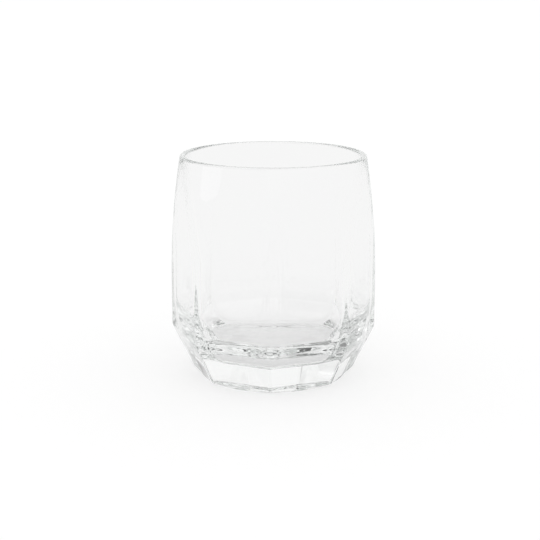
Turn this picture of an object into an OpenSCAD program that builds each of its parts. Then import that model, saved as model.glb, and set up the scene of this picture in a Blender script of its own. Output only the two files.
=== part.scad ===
// Faceted cortado glass, blown in one piece into a mould from clear soda-lime glass.
// A round barrel, widest low down and drawn in to the lip, is flattened on eight sides.
// Each panel is upright and ends above in an arch, where the round barrel takes over.
// Below the panels, sloping facets carry the body in to an eight-sided foot.
// Inside, each wall follows its panel and rounds in below to a flat eight-sided floor on a heavy base.
// Millimetres, +Z up, origin on the table at the middle of the foot, a corner of the foot towards -Y.

/* [Body] */
// Height from the table to the top of the lip
height = 80; // [70:1:120]
// Outer diameter at the lip
rim_diameter = 66.4; // [60:0.2:72]
// Diameter of the round barrel at its widest, before the panels flatten it
belly_diameter = 75.4; // [73:0.2:90]
// Height of the barrel's widest point above the table
belly_height = 21; // [10:0.5:35]
// Thickness of the glass at the lip, which is one full round
lip_thickness = 2.1; // [1.4:0.1:3.5]

/* [Panels and foot] */
// Number of panels, and of facets below them
panel_count = 8; // [6:1:12]
// How far the middle of each panel lies inside the round barrel at its widest
panel_depth = 3.15; // [1:0.05:6]
// Distance between opposite sides of the foot
across_foot = 53.3; // [44:0.1:60]
// Height at which the facets meet the panels
facet_height = 17.1; // [10:0.1:30]

/* [Inside] */
// Thickness of the glass at the middle of a panel
wall_thickness = 3.1; // [2:0.1:5]
// Thickness of the base under the cavity's floor
base_thickness = 10.5; // [6:0.5:16]
// Thickness of the glass at the corners between the panels
corner_thickness = 3.7; // [2.5:0.1:6]
// How far each wall rounds in at the bottom, from upright to the edge of the floor
bowl_reach = 14; // [6:0.5:20]
// Height above the cavity's floor at which the walls begin to round in
bowl_height = 18; // [8:0.5:28]

/* [Underside] */
// Diameter of the shallow dish under the base, inside the ring that the glass stands on
dish_diameter = 42; // [20:1:43]
// Depth of the dish at its middle
dish_depth = 0.6; // [0.4:0.1:2]

/* [Hidden] */

// How far a cutting shape runs past what it cuts
overrun = 1;
// Straight steps that stand for each round stretch of the outline
arc_steps = 16;
$fn = 128;

lip_radius = lip_thickness / 2;
lip_height = height - lip_radius;
rim_radius = rim_diameter / 2;
belly_radius = belly_diameter / 2;

// The barrel is one arc, upright at its widest point and tangent to the round of the lip
lip_rise = lip_height - belly_height;
lip_inset = belly_radius - rim_radius;
barrel_arc = lip_radius + (lip_rise * lip_rise + lip_inset * lip_inset) / (2 * lip_inset);
barrel_centre = [belly_radius - barrel_arc, belly_height];
lip_centre = [rim_radius - lip_radius, lip_height];
lip_angle = asin(lip_rise / (barrel_arc - lip_radius));
table_angle = -asin(belly_height / barrel_arc);

// The facets lean out from the foot's sides to the panels
panel_apothem = belly_radius - panel_depth;
panel_corner = panel_apothem / cos(180 / panel_count);
foot_apothem = across_foot / 2;
facet_lean = atan((panel_apothem - foot_apothem) / facet_height);
facet_length = facet_height / cos(facet_lean);

// The cavity's corners follow one arc too, tangent to the round of the lip and upright where the bowl begins
cavity_radius = min(panel_corner, belly_radius) - corner_thickness;
bowl_top = base_thickness + bowl_height;
side_rise = lip_height - bowl_top;
side_inset = cavity_radius - lip_centre[0];
side_arc = (side_rise * side_rise + side_inset * side_inset - lip_radius * lip_radius)
    / (2 * (side_inset + lip_radius));
side_centre = [cavity_radius - side_arc, bowl_top];
side_angle = asin(side_rise / (side_arc + lip_radius));

// Its flats lie behind the panels
inner_apothem = panel_apothem - wall_thickness;
corner_share = cavity_radius / inner_apothem;

// The dish is a shallow cap of a large sphere
dish_sphere = (dish_diameter * dish_diameter / 4 + dish_depth * dish_depth) / (2 * dish_depth);

// Points of an arc about a centre, from one angle to another
function arc(centre, radius, from, to) = [
    for (i = [0 : arc_steps])
        let (angle = from + (to - from) * i / arc_steps)
        centre + radius * [cos(angle), sin(angle)]
];

// Quarter of an ellipse, from an upright wall down and in to the edge of the floor
function bowl(share) = [
    for (i = [0 : arc_steps])
        let (angle = 90 * i / arc_steps)
        [share * (inner_apothem - bowl_reach * (1 - cos(angle))), bowl_top - bowl_height * sin(angle)]
];

// Half of the outside in section: up the barrel and half over the lip
function outer_section() = concat(
    [[0, 0]],
    arc(barrel_centre, barrel_arc, table_angle, lip_angle),
    arc(lip_centre, lip_radius, lip_angle, 90),
    [[0, height]]
);

// Half of the cavity in section through its corners: down the inside of the lip and the bowl to the floor
function cavity_section() = concat(
    [[0, height + overrun], [lip_centre[0], height + overrun]],
    arc(lip_centre, lip_radius, 90, 180 + side_angle),
    arc(side_centre, side_arc, side_angle, 0),
    bowl(corner_share),
    [[0, base_thickness]]
);

// What lies outside one wall of the cavity in section, with the wall's bowl along its inner side
function wall_section() = concat(
    [[inner_apothem, height + 2 * overrun]],
    bowl(1),
    [
        [inner_apothem - bowl_reach, base_thickness - overrun],
        [belly_diameter, base_thickness - overrun],
        [belly_diameter, height + 2 * overrun]
    ]
);

// Eight-sided upright prism whose sides are the panels
module panel_prism() {
    translate([0, 0, -overrun])
        cylinder(r = panel_corner, h = height + 2 * overrun, $fn = panel_count);
}

// What lies outside one wall of the cavity, to be kept as glass
module wall_cut() {
    rotate([90, 0, 0])
        linear_extrude(height = 2 * belly_diameter, center = true)
            polygon(wall_section());
}

// What lies outside one facet, to be taken away
module facet_cut() {
    translate([foot_apothem, 0, 0])
        rotate([0, facet_lean, 0])
            translate([0, -belly_radius, -overrun])
                cube([belly_radius, belly_diameter, facet_length + 2 * overrun]);
}

module dish_cut() {
    translate([0, 0, dish_depth - dish_sphere])
        sphere(dish_sphere);
}

module cavity() {
    difference() {
        rotate_extrude()
            polygon(cavity_section());
        for (i = [0 : panel_count - 1])
            rotate([0, 0, 360 / panel_count * (i + 1 / 2)])
                wall_cut();
    }
}

module tumbler() {
    color([0.90, 0.94, 0.93, 0.35])
        difference() {
            intersection() {
                rotate_extrude()
                    polygon(outer_section());
                panel_prism();
            }
            cavity();
            for (i = [0 : panel_count - 1])
                rotate([0, 0, 360 / panel_count * (i + 1 / 2)])
                    facet_cut();
            dish_cut();
        }
}

tumbler();
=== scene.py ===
"""Clear mould-blown cortado glass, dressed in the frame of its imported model: +Z up, metres, foot on z = 0."""
import math

import bmesh
import bpy
import numpy as np
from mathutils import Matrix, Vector


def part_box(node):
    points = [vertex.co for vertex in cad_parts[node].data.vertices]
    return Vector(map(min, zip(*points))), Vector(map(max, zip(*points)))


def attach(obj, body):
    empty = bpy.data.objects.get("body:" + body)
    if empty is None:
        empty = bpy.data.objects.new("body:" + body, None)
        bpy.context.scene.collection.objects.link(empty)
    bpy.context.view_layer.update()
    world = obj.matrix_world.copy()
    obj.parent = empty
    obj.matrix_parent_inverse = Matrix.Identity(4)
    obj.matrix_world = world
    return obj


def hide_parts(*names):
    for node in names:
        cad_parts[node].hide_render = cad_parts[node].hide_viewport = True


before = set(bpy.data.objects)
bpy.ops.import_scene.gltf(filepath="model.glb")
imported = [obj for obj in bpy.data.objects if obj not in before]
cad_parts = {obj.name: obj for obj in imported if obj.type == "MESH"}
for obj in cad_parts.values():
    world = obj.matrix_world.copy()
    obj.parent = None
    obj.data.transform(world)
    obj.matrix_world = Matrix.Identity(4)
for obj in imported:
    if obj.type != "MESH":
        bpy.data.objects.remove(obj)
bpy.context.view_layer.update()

MM = 0.001

# Sizes of the glass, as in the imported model
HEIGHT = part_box("tumbler")[1][2]
RIM_RADIUS = 33.2 * MM
BELLY_RADIUS = 37.7 * MM
BELLY_HEIGHT = 21 * MM
LIP_RADIUS = 1.05 * MM
PANELS = 8
PANEL_APOTHEM = 34.55 * MM
FOOT_APOTHEM = 26.65 * MM
FACET_HEIGHT = 17.1 * MM
WALL_THICKNESS = 3.1 * MM
BASE_THICKNESS = 10.5 * MM
CAVITY_RADIUS = 33.7 * MM
BOWL_REACH = 14 * MM
BOWL_HEIGHT = 18 * MM
DISH_RADIUS = 21 * MM
DISH_DEPTH = 0.6 * MM

# How far blowing and fire polishing soften the edges: the larger, the rounder
CORNER_SOFTNESS = 0.4 * MM
FACET_SOFTNESS = 0.3 * MM
CREASE_SOFTNESS = 0.13 * MM
FOOT_SOFTNESS = 0.03 * MM
INSIDE_SOFTNESS = 0.45 * MM
# Towards the middle of its floor the cavity's softness shrinks to this share of the radius
INSIDE_SOFT_SHARE = 0.06
# Between two heights the cavity's flats draw back towards the lip, which stays round above PRESS_TOP
FADE_REACH = 0.6 * MM
FADE_FROM = 50 * MM
FADE_TO = 78 * MM
PRESS_TOP = 77 * MM

# Columns of vertices in one eighth of a turn, and how strongly they crowd to its corners
SECTOR_STEPS = 44
CROWD_SHARE = 0.75
# Rows of vertices along each stretch of the outline
DISH_ROWS = 11
RING_ROWS = 5
FOOT_ROWS = 10
LIP_ROWS = 22
CAVITY_ROWS = 36
BOWL_ROWS = 36
FLOOR_ROWS = 9
# Rows up the outer wall, which crowd where the foot, the crease and the arches bend it:
# each height has the number of rows from there to the next
FOOT_EDGE = 1.5 * MM
CREASE_REACH = 3 * MM
ARCHES_FROM = 32 * MM
ARCHES_TO = 74 * MM
WALL_ROWS = (
    (0, 14),
    (FOOT_EDGE, 12),
    (FACET_HEIGHT - CREASE_REACH, 24),
    (FACET_HEIGHT + CREASE_REACH, 8),
    (ARCHES_FROM, 46),
    (ARCHES_TO, 5),
)

# Steps in which a vertex settles against the mould, and how close it then lies
SETTLE_STEPS = 60
ON_MOULD = 0.002 * MM
# Rays from the axis start no lower than this, so that those to the foot meet the table at a slant
LOWEST_RAY = 6 * MM
# Margin that keeps the dish out of the pressing, and the middle of the cavity's floor that stays as spun
DISH_MARGIN = 0.1 * MM
FLOOR_MIDDLE = 2 * MM
# Distances within which vertices weld: over the whole glass, and where its two skins meet at the lip
WELD = 0.006 * MM
LIP_WELD = 0.03 * MM

# Camera of the photograph: place, turn, tilt down and lens
CAMERA_PLACE = (11.67 * MM, -421.8 * MM, 141.9 * MM)
CAMERA_YAW = math.radians(1.74)
CAMERA_PITCH = math.radians(13.9)
CAMERA_LENS = 79.93
SENSOR_WIDTH = 36
CAMERA_NEAR = 10 * MM

# Light of the studio, where 1 is white: an even dome for the paper, and for the glass a pale room that grows
# dimmer between two elevations in degrees
DOME_LIGHT = 0.95
ROOM_LOW = 0.95
ROOM_HIGH = 0.5
ROOM_HIGH_FROM = 10
ROOM_HIGH_TO = 26
# White cards, softboxes and dark flags that the glass shows, later ones in front of earlier ones:
# azimuth from the camera's side towards +X, elevation, half of the width, half of the height and soft edge,
# all in degrees as seen from the glass, and brightness
CARDS = (
    ("white backdrop", 180, 0, 55, 30, 2, 0.94),
    ("right softbox", 45, 28, 48, 17, 6, 1.12),
    ("overhead softbox", 180, 88, 32, 32, 8, 1.0),
    ("flag above the backdrop", 190, 48, 48, 15, 3, 0.0),
    ("narrow flag on the backdrop", 201, 29, 8, 11, 2, 0.08),
    ("tall card behind", 181, 30, 7, 16, 3, 0.95),
    ("flag on the left", 318, 43, 26, 12, 5, 0.4),
    ("left softbox", 283, 5, 13, 6, 4, 1.45),
    ("low flag on the left", 255, 20, 18, 8, 4, 0.25),
)
# Directions along a card's plane or behind it count as this little in front of it, which is far off the card
CARD_GRAZE = 0.001
# Brightness that the paper takes on where the camera sees it, and the share of that in and through the glass
PAPER_GLOW = 0.68
PAPER_THROUGH_SHARE = 0.87
# Half of the paper's width, and the hair's breadth of air that is left between it and the foot
FLOOR_REACH = 6000 * MM
FLOOR_GAP = 0.05 * MM
# Light bounces that glass this thick needs
BOUNCES = 40


# Outline of the glass, as (r, z) points

LIP_HEIGHT = HEIGHT - LIP_RADIUS
LIP_RISE = LIP_HEIGHT - BELLY_HEIGHT
LIP_INSET = BELLY_RADIUS - RIM_RADIUS
BARREL_ARC = LIP_RADIUS + (LIP_RISE ** 2 + LIP_INSET ** 2) / (2 * LIP_INSET)
LIP_ANGLE = math.asin(LIP_RISE / (BARREL_ARC - LIP_RADIUS))
LIP_CENTRE = (RIM_RADIUS - LIP_RADIUS, LIP_HEIGHT)
INNER_APOTHEM = PANEL_APOTHEM - WALL_THICKNESS
CORNER_SHARE = CAVITY_RADIUS / INNER_APOTHEM
BOWL_TOP = BASE_THICKNESS + BOWL_HEIGHT
SIDE_RISE = LIP_HEIGHT - BOWL_TOP
SIDE_INSET = CAVITY_RADIUS - LIP_CENTRE[0]
SIDE_ARC = (SIDE_RISE ** 2 + SIDE_INSET ** 2 - LIP_RADIUS ** 2) / (2 * (SIDE_INSET + LIP_RADIUS))
SIDE_ANGLE = math.asin(SIDE_RISE / (SIDE_ARC + LIP_RADIUS))


def barrel_radius(z):
    """Radius of the round barrel before the mould flattens its sides."""
    return BELLY_RADIUS - BARREL_ARC + np.sqrt(BARREL_ARC ** 2 - (z - BELLY_HEIGHT) ** 2)


def point_round(centre, radius, angle):
    """The point at an angle round a centre."""
    return centre[0] + radius * math.cos(angle), centre[1] + radius * math.sin(angle)


def arc(centre, radius, start, end, steps):
    """Points round a centre from one angle to another."""
    return [point_round(centre, radius, angle) for angle in np.linspace(start, end, steps + 1)]


def line(start, end, steps):
    """Points from start up to, but without, end."""
    return [tuple(start[i] + (end[i] - start[i]) * k / steps for i in (0, 1)) for k in range(steps)]


def outside_outline():
    """From the middle of the underside out to the foot, then up the barrel to the lip."""
    sphere = (DISH_RADIUS ** 2 + DISH_DEPTH ** 2) / (2 * DISH_DEPTH)
    dish = [(r, DISH_DEPTH - sphere + math.sqrt(sphere ** 2 - r ** 2))
            for r in np.linspace(0, DISH_RADIUS, DISH_ROWS + 1)]
    foot_start = (FOOT_APOTHEM - FOOT_EDGE, 0)
    foot_end = (FOOT_APOTHEM, 0)
    ring = line(dish[-1], foot_start, RING_ROWS)[1:] + line(foot_start, foot_end, FOOT_ROWS)
    starts, counts = zip(*WALL_ROWS)
    heights = [z for low, high, count in zip(starts, starts[1:] + (LIP_HEIGHT,), counts)
               for z in np.linspace(low, high, count, endpoint=False)]
    wall = [(float(barrel_radius(z)), float(z)) for z in heights]
    return dish + ring + wall + [point_round(LIP_CENTRE, LIP_RADIUS, LIP_ANGLE)]


def inside_outline():
    """Over the lip, down the corner of the cavity, round the bowl and in to the middle of its floor."""
    lip = arc(LIP_CENTRE, LIP_RADIUS, LIP_ANGLE, math.pi + SIDE_ANGLE, LIP_ROWS)
    wall = arc((CAVITY_RADIUS - SIDE_ARC, BOWL_TOP), SIDE_ARC, SIDE_ANGLE, 0, CAVITY_ROWS)[1:]
    bowl = [(CORNER_SHARE * (INNER_APOTHEM - BOWL_REACH * (1 - math.cos(angle))),
             BOWL_TOP - BOWL_HEIGHT * math.sin(angle))
            for angle in np.linspace(0, math.pi / 2, BOWL_ROWS + 1)[1:]]
    middle = (0, BASE_THICKNESS)
    return lip + wall + bowl + line(bowl[-1], middle, FLOOR_ROWS)[1:] + [middle]


# Blowing the glass into its mould

SIDE_TURNS = (np.arange(PANELS) + 0.5) * 2 * math.pi / PANELS
SIDE_NORMALS = np.stack([np.cos(SIDE_TURNS), np.sin(SIDE_TURNS), np.zeros(PANELS)], axis=1)
FACET_LEAN = math.atan((PANEL_APOTHEM - FOOT_APOTHEM) / FACET_HEIGHT)
FACET_NORMALS = SIDE_NORMALS * math.cos(FACET_LEAN) - np.array([0, 0, math.sin(FACET_LEAN)])
FACET_REACH = FOOT_APOTHEM * math.cos(FACET_LEAN)


def spin_sector(points):
    """One eighth of a turn of the outline, its columns crowded to the two corners, where the glass bends."""
    bm = bmesh.new()
    verts = [bm.verts.new((r, 0, z)) for r, z in points]
    edges = [bm.edges.new(pair) for pair in zip(verts, verts[1:])]
    bmesh.ops.spin(bm, geom=verts + edges, cent=(0, 0, 0), axis=(0, 0, 1), angle=2 * math.pi / PANELS,
                   steps=SECTOR_STEPS)
    for v in bm.verts:
        turn = math.atan2(v.co.y, v.co.x)
        turn -= CROWD_SHARE * math.sin(turn * PANELS) / PANELS
        radius = math.hypot(v.co.x, v.co.y)
        v.co.x, v.co.y = radius * math.cos(turn), radius * math.sin(turn)
    return bm


def soft_peak(gaps, rates, softness):
    """The largest gap in each row and its rate, rounded over where two gaps are nearly level."""
    top = gaps.max(axis=1, keepdims=True)
    weights = np.exp((gaps - top) / softness)
    total = weights.sum(axis=1, keepdims=True)
    return (top + softness * np.log(total))[:, 0], (weights * rates / total).sum(axis=1)


def soft_join(one, other, softness):
    """The larger of two gaps and its rate, rounded over where the two meet."""
    gaps, rates = zip(one, other)
    return soft_peak(np.column_stack(gaps), np.column_stack(rates), softness)


def settle(verts, centres, gauge):
    """Slides each vertex along its ray from the axis until its gap to the mould is nothing."""
    ray = np.array([v.co for v in verts]) - centres
    scale = np.ones((len(verts), 1))
    for _ in range(SETTLE_STEPS):
        gap, rate = gauge(centres + ray * scale, ray)
        scale[:, 0] -= gap / rate
    for v, place in zip(verts, centres + ray * scale):
        v.co = place


def mould_gap(here, ray):
    """Gap to the soft-edged mould of panels, barrel, facets and table, and its rate along the ray."""
    radius = np.hypot(here[:, 0], here[:, 1])
    rise = here[:, 2] - BELLY_HEIGHT
    swell = ray[:, 2] * rise / np.sqrt(BARREL_ARC ** 2 - rise ** 2)
    spread = (here[:, :2] * ray[:, :2]).sum(axis=1) / radius + swell
    side_gaps = np.column_stack([here @ SIDE_NORMALS.T - PANEL_APOTHEM, radius - barrel_radius(here[:, 2])])
    side = soft_peak(side_gaps, np.column_stack([ray @ SIDE_NORMALS.T, spread]), CORNER_SOFTNESS)
    facet = soft_peak(here @ FACET_NORMALS.T - FACET_REACH, ray @ FACET_NORMALS.T, FACET_SOFTNESS)
    wall = soft_join(side, facet, CREASE_SOFTNESS)
    table = (-here[:, 2], -ray[:, 2])
    return soft_join(wall, table, FOOT_SOFTNESS)


def press_outside(bm):
    """Presses the barrel into panels, facets and foot, and leaves the dish alone."""
    verts = [v for v in bm.verts if math.hypot(v.co.x, v.co.y) > DISH_RADIUS + DISH_MARGIN]
    centres = np.zeros((len(verts), 3))
    centres[:, 2] = [max(v.co.z, LOWEST_RAY) for v in verts]
    settle(verts, centres, mould_gap)


def press_inside(bm):
    """Flattens the cavity's eight walls, which round in to its floor and fade out below the lip."""
    verts = [v for v in bm.verts if v.co.z < PRESS_TOP and math.hypot(v.co.x, v.co.y) > FLOOR_MIDDLE]
    centres = np.array([(0, 0, v.co.z) for v in verts])
    radius = np.array([math.hypot(v.co.x, v.co.y) for v in verts])
    rise = np.clip((centres[:, 2] - FADE_FROM) / (FADE_TO - FADE_FROM), 0, 1)
    flat = INNER_APOTHEM + FADE_REACH * rise * rise * (3 - 2 * rise)
    apothem = np.where(centres[:, 2] > BOWL_TOP, flat, radius / CORNER_SHARE)
    softness = np.minimum(INSIDE_SOFTNESS, INSIDE_SOFT_SHARE * radius)

    def cavity_gap(here, ray):
        round_gap = np.hypot(here[:, 0], here[:, 1]) - radius
        gaps = np.column_stack([here @ SIDE_NORMALS.T - apothem[:, None], round_gap])
        return soft_peak(gaps, np.column_stack([ray @ SIDE_NORMALS.T, radius]), softness[:, None])

    settle(verts, centres, cavity_gap)


def repeat_sector(bm, name):
    """All eight sectors side by side, as a mesh."""
    bmesh.ops.spin(bm, geom=bm.verts[:] + bm.edges[:] + bm.faces[:], cent=(0, 0, 0), axis=(0, 0, 1),
                   angle=2 * math.pi * (PANELS - 1) / PANELS, steps=PANELS - 1, use_duplicate=True)
    mesh = bpy.data.meshes.new(name)
    bm.to_mesh(mesh)
    bm.free()
    return mesh


def polish_outside(mesh):
    """Gives the outside the mould's own normals, which run even where an arch crosses the mesh aslant."""
    here = np.array([v.co for v in mesh.vertices])
    # The two poles lie on the axis, where the barrel's gap has no rate, so they count as far off the mould
    here[np.hypot(here[:, 0], here[:, 1]) < ON_MOULD, 0] = 2 * BELLY_RADIUS
    gaps, normals = zip(*(mould_gap(here, np.tile(axis, (len(here), 1))) for axis in np.eye(3)))
    normals = np.column_stack(normals)
    normals /= np.linalg.norm(normals, axis=1, keepdims=True)
    # What isn't on the mould gets no normal of its own, and so keeps the mesh's
    normals[np.abs(gaps[0]) > ON_MOULD] = 0
    mesh.normals_split_custom_set_from_vertices(normals)


def blow_tumbler():
    """The whole glass: an outer and an inner skin, each pressed to shape, then welded at the lip."""
    outside = spin_sector(outside_outline())
    press_outside(outside)
    inside = spin_sector(inside_outline())
    press_inside(inside)
    bm = bmesh.new()
    for skin in (repeat_sector(outside, "outside"), repeat_sector(inside, "inside")):
        bm.from_mesh(skin)
        bpy.data.meshes.remove(skin)
    bmesh.ops.remove_doubles(bm, verts=bm.verts, dist=WELD)
    bmesh.ops.remove_doubles(bm, verts=[v for v in bm.verts if v.is_boundary], dist=LIP_WELD)
    bmesh.ops.recalc_face_normals(bm, faces=bm.faces)
    for face in bm.faces:
        face.smooth = True
    mesh = bpy.data.meshes.new("tumbler_glass")
    bm.to_mesh(mesh)
    bm.free()
    polish_outside(mesh)
    piece = bpy.data.objects.new("tumbler_glass", mesh)
    bpy.context.scene.collection.objects.link(piece)
    return piece


# Materials

def linear(code):
    """An sRGB hex colour as linear RGBA."""
    parts = [int(code[i:i + 2], 16) / 255 for i in (1, 3, 5)]
    return tuple(c / 12.92 if c <= 0.04045 else ((c + 0.055) / 1.055) ** 2.4 for c in parts) + (1.0,)


def add(tree, kind, settings=None, **inputs):
    """A node with its settings, and its inputs, named or numbered as i0, i1 and so on, set or linked."""
    made = tree.nodes.new(kind)
    for key, value in (settings or {}).items():
        setattr(made, key, value)
    for key, value in inputs.items():
        numbered = key[0] == "i" and key[1:].isdigit()
        socket = made.inputs[int(key[1:])] if numbered else made.inputs[key.replace("_", " ")]
        if isinstance(value, bpy.types.NodeSocket):
            tree.links.new(value, socket)
        else:
            socket.default_value = value
    return made


def new_material(name):
    """An empty material and its node tree."""
    material = bpy.data.materials.new(name)
    material.use_nodes = True
    material.node_tree.nodes.clear()
    return material, material.node_tree


def soda_lime_glass():
    """Blown soda-lime glass, fire-polished: a glossy skin, faintly waved, with a breath of green in depth."""
    material, tree = new_material("soda_lime_glass_fire_polished")
    wave_length = 14 * MM
    wave_height = 0.002 * MM
    where = add(tree, "ShaderNodeTexCoord")
    wave = add(tree, "ShaderNodeTexNoise", Vector=where.outputs["Object"], Scale=1 / wave_length,
               Detail=1.0)
    skin = add(tree, "ShaderNodeBump", Strength=1.0, Distance=wave_height, Height=wave.outputs[0])
    shader = add(tree, "ShaderNodeBsdfPrincipled", Base_Color=linear("#ffffff"), Roughness=0.0, IOR=1.52,
                 Transmission_Weight=1.0, Normal=skin.outputs[0])
    depth = add(tree, "ShaderNodeVolumeAbsorption", Color=linear("#e4efe9"), Density=1.5)
    add(tree, "ShaderNodeOutputMaterial", Surface=shader.outputs[0], Volume=depth.outputs[0])
    return material


def white_sweep_paper():
    """Matt white paper that keeps the shadow, and is lifted to white where it is seen."""
    material, tree = new_material("white_sweep_paper")
    paper = add(tree, "ShaderNodeBsdfDiffuse", Color=linear("#a0a0a0"))
    glow = add(tree, "ShaderNodeEmission", Color=linear("#ffffff"), Strength=PAPER_GLOW)
    lit = add(tree, "ShaderNodeAddShader", i0=paper.outputs[0], i1=glow.outputs[0])
    path = add(tree, "ShaderNodeLightPath")
    through = add(tree, "ShaderNodeMath", {"operation": "MAXIMUM"}, i0=path.outputs["Is Glossy Ray"],
                  i1=path.outputs["Is Transmission Ray"])
    through = add(tree, "ShaderNodeMath", {"operation": "MULTIPLY"}, i0=through.outputs[0],
                  i1=PAPER_THROUGH_SHARE)
    seen = add(tree, "ShaderNodeMath", {"operation": "MAXIMUM"}, i0=path.outputs["Is Camera Ray"],
               i1=through.outputs[0])
    sheet = add(tree, "ShaderNodeMixShader", i0=seen.outputs[0], i1=paper.outputs[0], i2=lit.outputs[0])
    add(tree, "ShaderNodeOutputMaterial", Surface=sheet.outputs[0])
    return material


# Studio

def lay_floor():
    """A wide sheet of paper under the glass."""
    bm = bmesh.new()
    bmesh.ops.create_grid(bm, x_segments=1, y_segments=1, size=FLOOR_REACH)
    mesh = bpy.data.meshes.new("floor")
    bm.to_mesh(mesh)
    bm.free()
    floor = bpy.data.objects.new("floor", mesh)
    bpy.context.scene.collection.objects.link(floor)
    mesh.materials.append(white_sweep_paper())
    floor.location.z = -FLOOR_GAP


def towards(azimuth, elevation):
    """A direction from the glass, by degrees round from the camera's side and up from level."""
    turn, tilt = math.radians(azimuth), math.radians(elevation)
    return Vector((math.sin(turn) * math.cos(tilt), -math.cos(turn) * math.cos(tilt), math.sin(tilt)))


def hang_card(tree, look, room, azimuth, elevation, width, height, edge, level):
    """The room's brightness with a flat rectangular card laid over it, which faces the glass."""
    ahead, across = towards(azimuth, elevation), towards(azimuth + 90, 0)
    depth = add(tree, "ShaderNodeVectorMath", {"operation": "DOT_PRODUCT"}, i0=look,
                i1=ahead).outputs["Value"]
    depth = add(tree, "ShaderNodeMath", {"operation": "MAXIMUM"}, i0=depth, i1=CARD_GRAZE).outputs[0]
    cover = 1.0
    for axis, half in ((across, width), (ahead.cross(across), height)):
        aside = add(tree, "ShaderNodeVectorMath", {"operation": "DOT_PRODUCT"}, i0=look,
                    i1=axis).outputs["Value"]
        aside = add(tree, "ShaderNodeMath", {"operation": "DIVIDE"}, i0=aside, i1=depth).outputs[0]
        aside = add(tree, "ShaderNodeMath", {"operation": "ABSOLUTE"}, i0=aside).outputs[0]
        within = add(tree, "ShaderNodeMapRange", {"interpolation_type": "SMOOTHSTEP"}, i0=aside,
                     i1=math.tan(math.radians(half + edge)), i2=math.tan(math.radians(half)))
        cover = add(tree, "ShaderNodeMath", {"operation": "MULTIPLY"}, i0=within.outputs[0],
                    i1=cover).outputs[0]
    return add(tree, "ShaderNodeMix", i0=cover, i2=room, i3=level).outputs[0]


def light_room():
    """The studio: white for the camera, the room and its cards for the glass, an even dome for the paper."""
    world = bpy.data.worlds.new("studio_room")
    bpy.context.scene.world = world
    world.use_nodes = True
    # The paper's light comes from an even dome, so rays found by bounces alone give the cleaner picture
    world.cycles.sampling_method = "NONE"
    tree = world.node_tree
    tree.nodes.clear()
    look = add(tree, "ShaderNodeTexCoord").outputs["Generated"]
    axes = add(tree, "ShaderNodeSeparateXYZ", i0=look)
    brightness = add(tree, "ShaderNodeMapRange", {"interpolation_type": "SMOOTHSTEP"}, i0=axes.outputs[2],
                     i1=math.sin(math.radians(ROOM_HIGH_FROM)), i2=math.sin(math.radians(ROOM_HIGH_TO)),
                     i3=ROOM_LOW, i4=ROOM_HIGH).outputs[0]
    for _, *card in CARDS:
        brightness = hang_card(tree, look, brightness, *card)
    room = add(tree, "ShaderNodeBackground", Strength=brightness, Color=linear("#ffffff"))
    dome = add(tree, "ShaderNodeBackground", Strength=DOME_LIGHT, Color=linear("#ffffff"))
    white = add(tree, "ShaderNodeBackground", Strength=1.0, Color=linear("#ffffff"))
    path = add(tree, "ShaderNodeLightPath")
    lit = add(tree, "ShaderNodeMixShader", i0=path.outputs["Diffuse Depth"], i1=room.outputs[0],
              i2=dome.outputs[0])
    seen = add(tree, "ShaderNodeMixShader", i0=path.outputs["Is Camera Ray"], i1=lit.outputs[0],
               i2=white.outputs[0])
    add(tree, "ShaderNodeOutputWorld", Surface=seen.outputs[0])
    cycles = bpy.context.scene.cycles
    cycles.max_bounces = cycles.transmission_bounces = cycles.glossy_bounces = BOUNCES


def set_camera():
    """The photograph's view of the glass."""
    lens = bpy.data.cameras.new("camera")
    lens.lens = CAMERA_LENS
    lens.sensor_width = SENSOR_WIDTH
    lens.clip_start = CAMERA_NEAR
    camera = bpy.data.objects.new("camera", lens)
    bpy.context.scene.collection.objects.link(camera)
    camera.location = CAMERA_PLACE
    camera.rotation_euler = (math.pi / 2 - CAMERA_PITCH, 0, CAMERA_YAW)
    bpy.context.scene.camera = camera


set_camera()
lay_floor()
light_room()
tumbler = blow_tumbler()
tumbler.data.materials.append(soda_lime_glass())
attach(tumbler, "root")
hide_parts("tumbler")
bpy.context.scene.view_settings.view_transform = "Standard"
